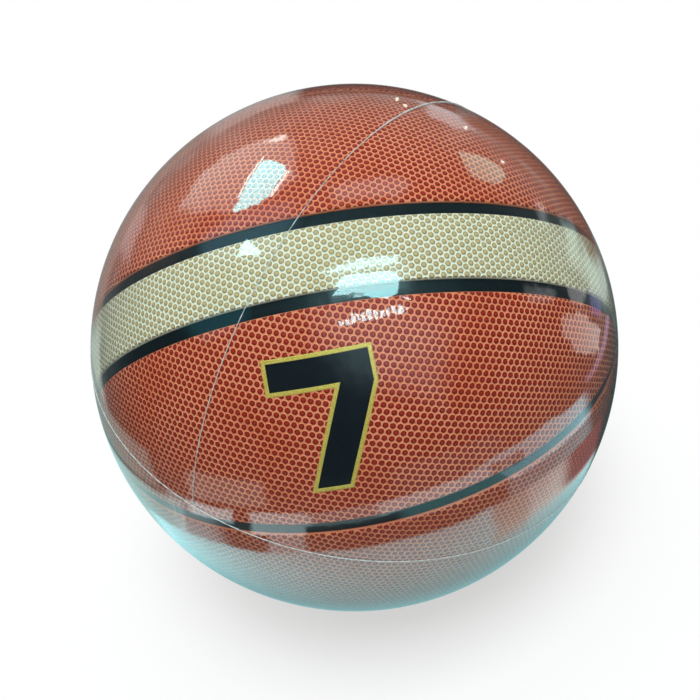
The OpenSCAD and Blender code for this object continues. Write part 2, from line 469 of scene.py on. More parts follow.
@dataclass(frozen=True)
class Numeral:
    """A plain figure 7, the size of the ball, pressed flat into a panel with a gold edge.

    It is the union of a bar and a slanting leg. Each is the inside of four straight lines, given by the
    direction across the line and the line's distance from the figure's middle in that direction.

    Attributes:
        turn: how far the figure is turned against the lattice, in degrees.
        edge: width of the gold edge, in millimetres.
        tall: its height.
        wide: its width.
        stroke: width of the bar.
        slant: slant of the leg, in degrees.
        leg: width of the leg, as a share of the bar's.
    """

    turn: float = -13.0
    edge: float = 1.5
    tall: float = 48.0
    wide: float = 38.0
    stroke: float = 12.5
    slant: float = 23.0
    leg: float = 1.08

    def parts(self) -> list[list[tuple[float, float, float]]]:
        """The lines of the bar and of the leg, as direction across, up, and distance.

        Returns:
            Both parts, each a list of lines.
        """
        up, out = self.tall / 2, self.wide / 2
        bar = [(0.0, 1.0, up), (0.0, -1.0, self.stroke - up), (1.0, 0.0, out), (-1.0, 0.0, out)]
        c, s = math.cos(math.radians(self.slant)), math.sin(math.radians(self.slant))
        right = out * c - (up - self.stroke) * s
        leg = [(c, -s, right), (-c, s, self.stroke * self.leg - right), (0.0, -1.0, up), (0.0, 1.0, up)]
        leg.append((1.0, 0.0, out))
        return [[(*turned(x, y, self.turn), d) for x, y, d in part] for part in (bar, leg)]

    def depth(self, u: Array | Value, v: Array | Value, least: Callable, most: Callable) -> Array | Value:
        """Distance inside the figure: the most over its parts of the least of their lines' distances."""
        return reduce(most, [reduce(least, [d - u * x - v * y for x, y, d in part]) for part in self.parts()])


# Settings of the triangulation: keep what lies inside the edge loop, and merge points this close
INSIDE = 1
CLOSE = 1e-7


@dataclass
class PebbledSkin:
    """Mesh of one panel's pebbled skin, closed, in the front upper quarter."""

    outline: Outline
    lattice: Lattice
    numeral: Numeral | None = None
    pebble: Pebble = Pebble()
    edge_run: float = 0.8
    edge_drop: float = 0.68
    border: tuple[float, ...] = (0.0, 0.1, 0.28, 0.52, 0.85)
    clear: float = 0.16
    step: float = 0.55
    coarse: float = 9.0
    pressed_rise: float = 0.12

    def sink(self, inset: Array) -> Array:
        """Depth of the rounded edge, a quarter ellipse: drop (1 - sqrt(1 - (1 - inset / run)^2))."""
        return self.edge_drop * (1 - np.sqrt(1 - (1 - np.clip(inset / self.edge_run, 0, 1)) ** 2))

    def lattice_points(self, loop: Array) -> Array:
        """Points of all the pebbles that lie inside the last border loop, in lattice coordinates.

        Args:
            loop: unit vectors along the panel's edge.

        Returns:
            The points, one row each.
        """
        flat = self.lattice.unroll(loop)
        centres = self.lattice.centres(flat.min(0), flat.max(0))
        cell = self.pebble.points(self.lattice)
        points = (centres[:, None] + cell[None]).reshape(-1, 2)
        return points[self.outline.inset(self.lattice.roll(points)) > self.border[-1] + self.clear]

    def join(self, flat: Array, loops: list[int]) -> Array:
        """Constrained Delaunay triangles between points on the panel, in lattice coordinates.

        Those whose middle isn't on the panel are left out, as some are laid over its hollow side too.

        Args:
            flat: lattice coordinates, loop after loop with the edge first, and then the points inside.
            loops: points in each loop.

        Returns:
            Corner indices, anticlockwise.
        """
        starts = np.cumsum([0, *loops])
        edges = [(int(a + k), int(a + (k + 1) % n)) for a, n in zip(starts, loops) for k in range(n)]
        rim = [list(range(loops[0]))]
        result = delaunay_2d_cdt([Vector(x) for x in flat.tolist()], edges, rim, INSIDE, CLOSE, True)
        keep = np.array([ids[0] for ids in result[3]])
        triangles = keep[np.array(result[2])]
        middle = self.lattice.roll(flat[triangles].mean(axis=1))
        return triangles[self.outline.inset(middle) > 0]

    def face(self) -> tuple[Array, Array, Array, Array, int]:
        """The outer face, with border loops and pebble points at the ball's radius + rise - sink.

        Returns:
            Points in millimetres, lattice coordinates, distances from the edge, triangles, and the length
            of the edge loop.
        """
        loops = [self.outline.loop(d, self.step) for d in self.border]
        counts = [len(x) for x in loops]
        flat = np.concatenate([self.lattice.unroll(x) for x in loops] + [self.lattice_points(loops[0])])
        ways = np.concatenate([*loops, self.lattice.roll(flat[sum(counts):])])
        inset = self.outline.inset(ways)
        rise = self.pebble.rise(self.lattice.off_centre(flat)) * smooth(0.1, 0.7, inset)
        if self.numeral is not None:
            pressed = smooth(-0.5, 0.3, self.numeral.depth(flat[:, 0], flat[:, 1], np.minimum, np.maximum))
            rise = rise * (1 - pressed) + self.pressed_rise * pressed
        radius = BALL.ball_r + rise - self.sink(inset)
        return ways * radius[:, None], flat, inset, self.join(flat, counts), counts[0]

    def closed(self) -> tuple[Array, Array, Array, Array]:
        """The outer face, the side walls and a coarse underside as one closed mesh.

        Returns:
            Points in millimetres, lattice coordinates, distances from the edge and triangles.
        """
        points, flat, inset, faces, n = self.face()
        base, span = len(points), flat[:n]
        k = np.arange(n)
        nxt = (k + 1) % n
        walls = halves(np.stack([k, base + k, base + nxt, nxt], 1))
        across = [np.arange(low, high, self.coarse) for low, high in zip(span.min(0), span.max(0))]
        grid = np.stack(np.meshgrid(*across), -1).reshape(-1, 2)
        grid = grid[self.outline.inset(self.lattice.roll(grid)) > self.coarse / 3]
        under = np.concatenate([span, grid])
        below = self.join(under, [n])[:, ::-1] + base
        rim = points[:n] / np.linalg.norm(points[:n], axis=1)[:, None]
        inner = np.concatenate([rim, self.lattice.roll(grid)]) * BALL.skin_in
        return (
            np.concatenate([points, inner]),
            np.concatenate([flat, under]),
            np.concatenate([inset, np.zeros(len(under))]),
            np.concatenate([faces, walls, below]),
        )


# Meshes


def make_piece(name: str, points: Array, faces: Array, uv: Array | None = None, flip: bool = False,
               inset: Array | None = None) -> Piece:
    """Puts points and faces into a mesh object at the origin, smooth shaded.

    Args:
        name: the object's name.
        points: places in millimetres, one row each.
        faces: corner indices, one row each, all with the same count.
        uv: two numbers for each point, stored as the piece's own map.
        flip: True to turn the faces round, for a mirrored piece.
        inset: distance of each point from the piece's edge in millimetres, stored as an attribute.

    Returns:
        The new object.
    """
    if flip:
        faces = faces[:, ::-1]
    mesh = bpy.data.meshes.new(name)
    size = faces.shape[1]
    mesh.vertices.add(len(points))
    mesh.vertices.foreach_set("co", (points * MM).astype(np.float32).ravel())
    mesh.loops.add(faces.size)
    mesh.loops.foreach_set("vertex_index", faces.astype(np.int32).ravel())
    mesh.polygons.add(len(faces))
    mesh.polygons.foreach_set("loop_start", np.arange(0, faces.size, size, dtype=np.int32))
    mesh.polygons.foreach_set("use_smooth", np.ones(len(faces), bool))
    if uv is not None:
        layer = mesh.uv_layers.new(name="lattice")
        layer.data.foreach_set("uv", uv[faces.ravel()].astype(np.float32).ravel())
    if inset is not None:
        mesh.attributes.new("inset", "FLOAT", "POINT").data.foreach_set("value", inset.astype(np.float32))
    mesh.update(calc_edges=True)
    mesh.validate()
    piece = bpy.data.objects.new(name, mesh)
    bpy.context.scene.collection.objects.link(piece)
    return piece


def finish_piece(piece: Piece, material: bpy.types.Material, slot: str, *replaced: str) -> Piece:
    """Gives a piece its material, hides the nodes that it replaces and lets it ride on the ball.

    Args:
        piece: the piece.
        material: its material.
        slot: the name of its slot; not used.
        replaced: the nodes that it stands in for.

    Returns:
        The piece.
    """
    piece.data.materials.append(material)
    if replaced:
        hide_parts(*replaced)
    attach(piece, "root")
    return piece


def grid_faces(rows: int, columns: int, wrap_rows: bool = False) -> Array:
    """Quads of a grid of points that closes on itself along its columns, and along its rows if asked.

    Args:
        rows: rows of points.
        columns: points in a row.
        wrap_rows: True where the last row joins the first.

    Returns:
        Corner indices, one quad a row.
    """
    r = np.arange(rows if wrap_rows else rows - 1)[:, None]
    c = np.arange(columns)[None]
    up, right = (r + 1) % rows, (c + 1) % columns
    quads = [r * columns + c, up * columns + c, up * columns + right, r * columns + right]
    return np.stack(quads, -1).reshape(-1, 4)


def halves(quads: Array) -> Array:
    """Both triangles of each quad."""
    return np.concatenate([quads[:, [0, 1, 2]], quads[:, [0, 2, 3]]])


def fan(ring: Array, tip: int) -> Array:
    """Triangles from the sides of a closed ring of points to a tip."""
    return np.stack([ring, np.roll(ring, -1), np.full_like(ring, tip)], 1)


# Shader expressions


class Value:
    """A number in a material: arithmetic on it adds Math nodes."""

    def __init__(self, nodes: Nodes, socket: Socket) -> None:
        """Wraps an output socket of one of the material's nodes."""
        self.nodes, self.socket = nodes, socket

    def math(self, operation: str, *others: Value | float) -> Value:
        """The result of one Math node with this value first."""
        return self.nodes.value("Math", dict(enumerate((self, *others))), operation=operation)

    def __add__(self, other: Value | float) -> Value:
        """Sum."""
        return self.math("ADD", other)

    __radd__ = __add__

    def __sub__(self, other: Value | float) -> Value:
        """Difference."""
        return self.math("SUBTRACT", other)

    def __rsub__(self, other: float) -> Value:
        """A plain number less this value."""
        return self.nodes.value("Math", {0: other, 1: self}, operation="SUBTRACT")

    def __mul__(self, other: Value | float) -> Value:
        """Product."""
        return self.math("MULTIPLY", other)

    __rmul__ = __mul__

    def __pow__(self, other: float) -> Value:
        """Power."""
        return self.math("POWER", other)

    def wrap(self, period: float) -> Value:
        """Distance from the nearest whole number of periods, with its sign."""
        return self.math("WRAP", period / 2, -period / 2)

    def least(self, other: Value) -> Value:
        """The lesser of two values."""
        return self.math("MINIMUM", other)

    def most(self, other: Value) -> Value:
        """The greater of two values."""
        return self.math("MAXIMUM", other)

    def smooth(self, low: float, high: float) -> Value:
        """Smooth step from 0 at low to 1 at high; low may be the greater.

        Args:
            low: the value where the step is 0.
            high: the value where it is 1.

        Returns:
            The step.
        """
        flip = low > high
        inputs = {0: self, 1: min(low, high), 2: max(low, high), 3: float(flip), 4: float(not flip)}
        return self.nodes.value("MapRange", inputs, interpolation_type="SMOOTHSTEP")

    def within(self, low: float, rise: float, fall: float, high: float) -> Value:
        """0 below low, 1 from rise to fall and 0 above high, with smooth steps between."""
        return self.smooth(low, rise) * self.smooth(high, fall)


class Nodes:
    """The nodes of one material or of the world."""

    def __init__(self, tree: bpy.types.NodeTree) -> None:
        """Empties the tree."""
        self.tree = tree
        tree.nodes.clear()

    def add(self, kind: str, inputs: dict | None = None, **settings: object) -> bpy.types.Node:
        """Adds a node.

        Args:
            kind: the node's type, without the ShaderNode that starts them all.
            inputs: values or links by socket name or number.
            settings: its properties, which are set first.

        Returns:
            The new node.
        """
        node = self.tree.nodes.new(f"ShaderNode{kind}")
        for key, setting in settings.items():
            setattr(node, key, setting)
        for key, value in (inputs or {}).items():
            source = value.socket if isinstance(value, Value) else value
            if isinstance(source, bpy.types.NodeSocket):
                self.tree.links.new(source, node.inputs[key])
            else:
                node.inputs[key].default_value = source
        return node

    def out(self, kind: str, inputs: dict | None = None, output: int | str = 0, **settings: object) -> Socket:
        """Adds a node and gives one of its outputs."""
        return self.add(kind, inputs, **settings).outputs[output]

    def value(self, kind: str, inputs: dict | None, output: int | str = 0, **settings: object) -> Value:
        """Adds a node and wraps one of its outputs."""
        return Value(self, self.out(kind, inputs, output, **settings))

    def split(self, vector: Socket) -> list[Value]:
        """The three parts of a vector."""
        return [Value(self, part) for part in self.add("SeparateXYZ", {0: vector}).outputs]

    def mix(self, factor: Value | float, a: Socket | tuple, b: Socket | tuple) -> Socket:
        """Colour a where the factor is 0 and b where it is 1."""
        return self.out("Mix", {0: factor, 6: a, 7: b}, 2, data_type="RGBA")

    def layers(self, colour: Socket | Colour, patches: Iterable[tuple[Value, Colour]]) -> Socket:
        """A colour with patches laid over it, each by its own mask.

        Args:
            colour: the colour below.
            patches: mask and colour of each patch in turn.

        Returns:
            The colour.
        """
        for mask, tint in patches:
            colour = self.mix(mask, colour, tint)
        return colour

    def dot(self, a: Socket, b: Array) -> Value:
        """Dot product of a vector and a fixed direction."""
        return self.value("VectorMath", {0: a, 1: tuple(b.tolist())}, "Value", operation="DOT_PRODUCT")

    def noise(self, where: Socket, scale: float, detail: float = 2.0, rough: float = 0.5) -> Value:
        """Noise between 0 and 1 at a scale per metre or per unit of the coordinates."""
        inputs = {"Vector": where, "Scale": scale, "Detail": detail, "Roughness": rough}
        return self.value("TexNoise", inputs, "Fac")

    def where(self) -> Socket:
        """The piece's own coordinates, in metres."""
        return self.out("TexCoord", output="Object")

    def bump(self, height: Value, distance: float, strength: float) -> Socket:
        """Normal of a surface raised by a height of 0 to 1 times a distance in metres."""
        return self.out("Bump", {"Height": height, "Distance": distance, "Strength": strength}, "Normal")

    def shade(self, factor: Value | Socket, a: Socket, b: Socket) -> Socket:
        """Shader a where the factor is 0 and b where it is 1."""
        return self.out("MixShader", {0: factor, 1: a, 2: b})


# Finishes


@dataclass(frozen=True)
class Finish:
    """A procedural material, with its name."""

    name: str

    def shader(self, n: Nodes) -> Socket:
        """The shader of the surface."""
        raise NotImplementedError

    def make(self) -> bpy.types.Material:
        """Builds the material.

        Returns:
            The new material.
        """
        material = bpy.data.materials.new(self.name)
        material.use_nodes = True
        n = Nodes(material.node_tree)
        n.add("OutputMaterial", {"Surface": self.shader(n)})
        return material


@dataclass(frozen=True)
class PebbledLeather(Finish):
    """Laminated cover with raised dots: a dark dot on paler ground, with a rim darkened by painted shade.

    Attributes:
        top: colour of a dot's top.
        rim: colour round the top, darker as painted shade on the dot's sloping side and at the panel's edge.
        ground: colour between the dots.
        deep: colour that the ground takes in patches.
        lattice: the lattice that the dots follow.
        numeral: the figure pressed into it, if any.
        cloud: patches in its colour, per metre.
        blot: blots on the dots, per metre.
        grain: its fine grain, per metre.
        relief: height of its relief, in metres.
        gap_r: distances from a dot's centre at which the ground starts and ends turning deep.
        dot_r: distances at which the dot's rim ends and starts.
        top_r: distances at which its top ends and starts.
        dome_r: distances at which its dome ends and starts.
        rough: its roughness between the grains.
    """

    top: Colour
    rim: Colour
    ground: Colour
    deep: Colour
    lattice: Lattice
    numeral: Numeral | None = None
    cloud: float = 38.0
    blot: float = 760.0
    grain: float = 2600.0
    relief: float = 0.00028
    gap_r: tuple[float, float] = (1.2, 1.36)
    dot_r: tuple[float, float] = (1.03, 0.93)
    top_r: tuple[float, float] = (0.8, 0.42)
    dome_r: tuple[float, float] = (1.14, 0.82)
    rough: float = 0.52

    def shader(self, n: Nodes) -> Socket:
        """The distance from the nearest dot, in millimetres, picks the colour and the relief.

        Args:
            n: the material's nodes.

        Returns:
            The shader.
        """
        u, v, _ = n.split(n.out("UVMap", uv_map="lattice"))
        w, h = self.lattice.columns, self.lattice.pitch
        first = (u.wrap(w) ** 2 + v.wrap(h) ** 2).math("SQRT")
        second = ((u + w / 2).wrap(w) ** 2 + (v + h / 2).wrap(h) ** 2).math("SQRT")
        off = first.least(second)
        where = n.where()
        cloud, blot = n.noise(where, self.cloud, 3.0), n.noise(where, self.blot, 1.0)
        grain = n.noise(where, self.grain)
        inset = n.value("Attribute", None, "Fac", attribute_name="inset")
        ground = n.mix(off.smooth(*self.gap_r) * 0.6 + cloud.smooth(0.4, 0.7) * 0.4, self.ground, self.deep)
        edge = off + (grain - 0.5) * 0.16 + (blot - 0.5) * 0.3
        # Painted shade: the dot's rim, on its sloping side, takes the darker rim colour
        dot = n.mix(edge.smooth(*self.top_r), self.rim, self.top)
        raised = edge.smooth(*self.dot_r) * inset.smooth(0.14, 0.34)
        # Painted shade: the last 0.3 mm, where the edge rolls down into the channel, is mixed towards the
        # darker rim colour
        colour = n.mix(inset.smooth(0.3, 0.0) * 0.28, n.mix(raised, ground, dot), self.rim)
        dome = off.smooth(*self.dome_r) * inset.smooth(0.2, 0.6) + grain * 0.1 + blot * 0.12
        rough, metal = self.rough + (grain - 0.5) * 0.2, 0.0
        if self.numeral is not None:
            inside, border = self.numeral.depth(u, v, Value.least, Value.most), self.numeral.edge
            weave = ((u * 5.2).math("SINE") * (v * 5.2).math("SINE") + 1) * 0.5
            figure, middle = inside.smooth(-0.05, 0.1), inside.smooth(border - 0.06, border + 0.06)
            black = n.mix(weave * 0.5 + grain * 0.5, srgb("0a0e12"), srgb("18222a"))
            gold = n.mix(grain.smooth(0.3, 0.7), srgb("d6c24a"), srgb("f2e37e"))
            colour = n.mix(figure, colour, n.mix(middle, gold, black))
            ridge = inside.within(0.0, 0.35, border - 0.2, border + 0.2)
            dome = dome * (1 - figure) + figure * (weave * 0.25 + ridge * 0.9 + grain * 0.1)
            metal = figure * (1 - middle) * 0.35
            rough = rough * (1 - figure) + figure * 0.36
            raised = raised * (1 - figure) + figure * 0.4
        return n.out("BsdfPrincipled", {
            "Base Color": colour,
            "Roughness": rough,
            "Metallic": metal,
            "Normal": n.bump(dome, self.relief, 0.9),
            "Specular IOR Level": 0.08,
            "Coat Weight": raised * 0.6 + 0.04,
            "Coat Roughness": 0.34,
        })


@dataclass(frozen=True)
class ChannelRubber(Finish):
    """Black moulded rubber of the channels, with a fine sandy grain.

    Attributes:
        fine: its grain, per metre.
        broad: patches in its roughness, per metre.
        relief: height of the grain, in metres.
    """

    name: str = "channel_rubber"
    fine: float = 1900.0
    broad: float = 120.0
    relief: float = 0.00012

    def shader(self, n: Nodes) -> Socket:
        """Two scales of grain.

        Args:
            n: the material's nodes.

        Returns:
            The shader.
        """
        fine, broad = n.noise(n.where(), self.fine, 3.0, 0.6), n.noise(n.where(), self.broad)
        return n.out("BsdfPrincipled", {
            "Base Color": n.mix(fine.smooth(0.45, 0.75), srgb("061013"), srgb("12242b")),
            "Roughness": 0.44 + (broad - 0.5) * 0.2,
            "Specular IOR Level": 0.4,
            "Normal": n.bump(fine, self.relief, 0.7),
        })


@dataclass(frozen=True)
class ClearFilm(Finish):
    """Clear shrink film: it mirrors more the flatter it is seen, and lets the rest through.

    Attributes:
        head_on: share mirrored by one face when seen head on.
        print_through: how much the dots and the channels under it show in its relief.
        dots: the dots in its relief, per metre.
        waves: its waves, per metre.
        relief: height of its relief, in metres.
        sunk: distances from a channel's middle line at which it starts and ends rising, in millimetres.
        rough: its roughness.
    """

    name: str = "clear_film"
    head_on: float = 0.045
    print_through: float = 0.03
    dots: float = 420.0
    waves: float = 24.0
    relief: float = 0.0004
    sunk: tuple[float, float] = (0.6, 3.0)
    rough: float = 0.03

    def shader(self, n: Nodes) -> Socket:
        """The mirrored share is head_on + (1 - head_on) facing^4.

        Args:
            n: the material's nodes.

        Returns:
            The shader.
        """
        where = n.where()
        under = n.noise(where, self.dots, 0.0) + self.panels(n, where)
        relief = n.noise(where, self.waves, 1.0) + under * self.print_through
        facing = n.value("LayerWeight", {"Blend": 0.5}, "Facing")
        share = (facing ** 4) * (1 - self.head_on) + self.head_on
        mirror = n.out("BsdfGlossy", {"Roughness": self.rough, "Normal": n.bump(relief, self.relief, 1.0)})
        return n.shade(share, n.out("BsdfTransparent"), mirror)

    def panels(self, n: Nodes, where: Socket) -> Value:
        """1 over the panels and 0 where the film sinks a little over a channel.

        The distance from a channel is R |p.q - cos r| / sin r for a circle of radius r about q. All
        quarters are folded onto the front upper one first.

        Args:
            n: the material's nodes.
            where: the film's coordinates, in metres.

        Returns:
            The mask.
        """
        x, y, z = (part.math("ABSOLUTE") * (1 / (BALL.film_out * MM)) for part in n.split(where))
        low, high = math.radians(BALL.side_pole), math.radians(BALL.crown_pole)
        circles = [
            (0.0, 0.0, 1.0, 90.0),
            (0.0, 1.0, 0.0, 90.0),
            (0.0, math.cos(low), -math.sin(low), BALL.oval_angle),
            (0.0, -math.cos(high), math.sin(high), BALL.crown_angle),
        ]
        total = None
        for a, b, c, polar in circles:
            r = math.radians(polar)
            off = (x * a + y * b + z * c - math.cos(r)).math("ABSOLUTE") * (BALL.film_out / math.sin(r))
            over = off.smooth(*self.sunk)
            total = over if total is None else total * over
        return total


@dataclass(frozen=True)
class WeldedFilm(Finish):
    """The film along its welds, where it is drawn together and turns milky.

    Attributes:
        pieces: its broken pieces, per metre.
        least: share of the gloss where it is clearest.
    """

    name: str = "welded_film"
    pieces: float = 420.0
    least: float = 0.25

    def shader(self, n: Nodes) -> Socket:
        """Clear, mixed with a pale gloss in short broken pieces.

        Args:
            n: the material's nodes.

        Returns:
            The shader.
        """
        broken = n.noise(n.where(), self.pieces, 3.0, 0.6)
        body = n.out("BsdfPrincipled", {"Base Color": srgb("e2eaea"), "Roughness": 0.3 + broken * 0.2})
        return n.shade(broken.smooth(0.25, 0.6) * 0.45 + self.least, n.out("BsdfTransparent"), body)


@dataclass(frozen=True)
class PlainGrain(Finish):
    """A plain matt finish for the layers inside: one colour with a fine grain."""

    light: Colour
    dark: Colour
    scale: float
    rough: float

    def shader(self, n: Nodes) -> Socket:
        """One noise for colour and relief.

        Args:
            n: the material's nodes.

        Returns:
            The shader.
        """
        grain = n.noise(n.where(), self.scale, 3.0)
        return n.out("BsdfPrincipled", {
            "Base Color": n.mix(grain.smooth(0.35, 0.65), self.dark, self.light),
            "Roughness": self.rough,
            "Normal": n.bump(grain, 0.0002, 0.5),
        })


@dataclass(frozen=True)
class Floor(Finish):
    """The floor: pale to the eye, and in the film a glowing painted reflection of a table near the ball, with
    the room beyond it.

    It is partly matt near the ball, where its shadow falls, and plain white further off. Each pair of
    distances, in metres, is where a soft edge starts and ends, and each four bearings, in radians, are
    where an arc starts, is full, starts to fade and ends.

    Attributes:
        shadow: where the matt part thins out.
        mat: edge of the pale mat about the ball's foot.
        gap: outer edge of the dark gap round the mat.
        ring: inner edge of the bright ring.
        ring_end: outer edge of the ring.
        table_end: edge of the table, beyond which the room shows.
        right_end: its edge on the right.
        mat_arc: bearings over which the mat shows.
        brown_arc: those of a brown patch on it.
        inner_arc: those of a short arc inside the ring.
        near_fill: those of the stronger fill beside it.
        left_fill: those of the weaker fill.
        hole_arc: those of the ring's hole.
        hole: distances of the hole.
        left_break: bearings of the ring's break on the left.
        front_break: those of its thin part in front.
        swell_arc: those over which it swells outwards.
        faint_arc: those of a faint arc past the ring.
        dim_arc: those of a dim arc in its place.
    """

    name: str = "floor"
    shadow: tuple[float, float] = (0.1, 0.23)
    mat: tuple[float, float] = (0.199, 0.19)
    gap: tuple[float, float] = (0.232, 0.24)
    ring: tuple[float, float] = (0.252, 0.26)
    ring_end: tuple[float, float] = (0.312, 0.3)
    table_end: tuple[float, float] = (0.46, 0.52)
    right_end: tuple[float, float] = (0.31, 0.325)
    mat_arc: Arc = (-1.7, -1.5, 1.55, 1.75)
    brown_arc: Arc = (0.6, 0.68, 0.84, 0.92)
    inner_arc: Arc = (-0.7, -0.66, -0.38, -0.35)
    near_fill: Arc = (-0.62, -0.56, -0.4, -0.35)
    left_fill: Arc = (-1.35, -1.2, -1.0, -0.8)
    hole_arc: Arc = (0.66, 0.71, 0.89, 0.93)
    hole: Arc = (0.258, 0.266, 0.295, 0.305)
    left_break: Arc = (-0.8, -0.77, -0.69, -0.66)
    front_break: Arc = (-0.36, -0.3, 0.0, 0.1)
    swell_arc: Arc = (0.5, 0.8, 1.1, 1.35)
    faint_arc: Arc = (-1.12, -1.06, -0.6, -0.55)
    dim_arc: Arc = (0.12, 0.2, 0.78, 0.86)

    def shader(self, n: Nodes) -> Socket:
        """Plain white where seen, a darker matt where it throws light back, and the table's glowing painted
        reflection where mirrored.

        Args:
            n: the material's nodes.

        Returns:
            The shader.
        """
        rays = n.add("LightPath").outputs
        x, y, _ = n.split(n.where())
        far = (x * x + y * y).math("SQRT")
        matt, shaded = (n.out("BsdfDiffuse", {"Color": (tone, tone, tone, 1.0)}) for tone in (0.94, 0.36))
        white = n.out("Emission", {"Color": WHITE})
        seen = n.shade(far.smooth(*self.shadow) * 0.45 + 0.55, matt, white)
        # Painted reflection: the table is light given off only towards glossy rays, so it shows only in the
        # film
        table = n.out("Emission", {"Color": self.table(n, x, y, far)})
        past = far.smooth(*self.table_end).most(x.smooth(*self.right_end))
        mirrored = n.shade(past, table, n.out("BsdfTransparent"))
        return n.shade(rays["Is Glossy Ray"], n.shade(straight(n, rays), shaded, seen), mirrored)

    def table(self, n: Nodes, x: Value, y: Value, far: Value) -> Socket:
        """Colour of the table's painted reflection: a round pale mat, darker near the ball's foot as painted
        shadow, a gap, a bright ring and a lobe on the left.

        Bearings about the ball's foot are in radians, with 0 in front and the right positive. Bearings and
        distances wander a little.

        Args:
            n: the floor's nodes.
            x: place across, in metres.
            y: place along, in metres.
            far: distance from the ball's foot.

        Returns:
            The colour.
        """
        wobble = n.noise(n.where(), 30.0) - 0.5
        turn = x.math("ARCTAN2", y * -1.0) + wobble * 0.08
        far = far + wobble * 0.006
        pale = n.mix(turn.smooth(0.3, 0.8), (1.5, 2.1, 2.2, 1.0), (0.9, 1.65, 1.85, 1.0))
        around = n.mix(self.bright(far, turn), self.room(n, x, y, far, turn), pale)
        mat = [
            # Painted shadow: the mat is darker towards the ball's foot, where the ball shades it
            (far.smooth(0.09, 0.185), (0.82, 1.6, 1.68, 1.0)),
            (turn.smooth(0.6, 0.75) * far.smooth(0.13, 0.15), (1.05, 1.1, 1.06, 1.0)),
            (turn.within(*self.brown_arc) * far.smooth(0.122, 0.14) * 0.5, (0.65, 0.55, 0.42, 1.0)),
            (turn.smooth(1.12, 1.3) * far.smooth(0.136, 0.15), (0.3, 0.13, 0.14, 1.0)),
        ]
        on_mat = far.smooth(*self.mat) * turn.within(*self.mat_arc)
        return n.mix(on_mat, around, n.layers((0.33, 0.62, 0.65, 1.0), mat))

    def bright(self, far: Value, turn: Value) -> Value:
        """Share of the bright ring and of the fills beside it.

        The ring is broken at the left and in front, has a hole at the right and swells outwards there.

        Args:
            far: distance from the ball's foot.
            turn: bearing about it.

        Returns:
            The share.
        """
        right = turn.smooth(0.72, 0.8)
        inner = far.smooth(*self.gap) * turn.within(*self.inner_arc)
        fill = turn.within(*self.near_fill) * 0.5 + turn.within(*self.left_fill) * 0.36
        rim = (far + right * 0.038 - turn.smooth(0.0, 0.25) * 0.01).smooth(*self.ring)
        hole = turn.within(*self.hole_arc) * far.within(*self.hole)
        gap = turn.within(*self.left_break) + turn.within(*self.front_break) * 0.6
        ring = turn.smooth(-1.2, -1.05) * rim * (1 - gap) * (1 - hole)
        reach = (far - turn.within(*self.swell_arc) * 0.026).smooth(*self.ring_end)
        return ring.most(inner).most(fill).most(right * 0.32) * (reach * turn.smooth(1.55, 1.4))

    def room(self, n: Nodes, x: Value, y: Value, far: Value, turn: Value) -> Socket:
        """Colour off the mat and the ring: dark, and paler behind, with two arcs and a lobe on the left.

        Args:
            n: the floor's nodes.
            x: place across, in metres.
            y: place along, in metres.
            far: distance from the ball's foot.
            turn: bearing about it.

        Returns:
            The colour.
        """
        faint = far.smooth(0.32, 0.335) * turn.within(*self.faint_arc)
        lobe = (x * -0.532 + y * 0.848).smooth(0.032, 0.042) * far.smooth(0.295, 0.27)
        lobe = lobe * x.smooth(-0.08, -0.12)
        beyond = far.smooth(0.29, 0.3) * x.smooth(-0.2, -0.25) * y.smooth(-0.09, -0.06)
        dim = far.smooth(*self.gap) * turn.within(*self.dim_arc) * (1 - far.smooth(0.27, 0.3) * 0.75)
        return n.layers((0.05, 0.08, 0.085, 1.0), [
            (y.smooth(0.05, 0.5), (0.3, 0.33, 0.32, 1.0)),
            (faint, (0.66, 0.72, 0.68, 1.0)),
            (lobe, (0.57, 0.94, 0.92, 1.0)),
            (beyond * 0.8, (0.42, 0.55, 0.52, 1.0)),
            (dim, (0.28, 0.75, 0.78, 1.0)),
        ])


def straight(n: Nodes, rays: bpy.types.bpy_prop_collection) -> Value:
    """1 for rays that come straight from the camera or through glass."""
    return Value(n, rays["Is Camera Ray"]).most(Value(n, rays["Is Transmission Ray"]))


# Sub-assemblies


@dataclass(frozen=True)
class Skin:
    """One shape of skin, and the quarters of the ball that it is mirrored to."""

    kind: PanelKind
    word: str
    lattice: Lattice
    quarters: tuple[tuple[str, str], ...]
    numeral: Numeral | None = None

    def leather(self, name: str) -> PebbledLeather:
        """Its finish: cream for a band, orange-red for the others.

        Args:
            name: the material's name.

        Returns:
            The finish.
        """
        cream, red = ("c8b281", "97986e", "eef3e1", "dfe6cd"), ("a62910", "721102", "f09c77", "da6c3a")
        tones = cream if self.kind is PanelKind.BAND else red
        return PebbledLeather(name, *(srgb(code) for code in tones), self.lattice, self.numeral)


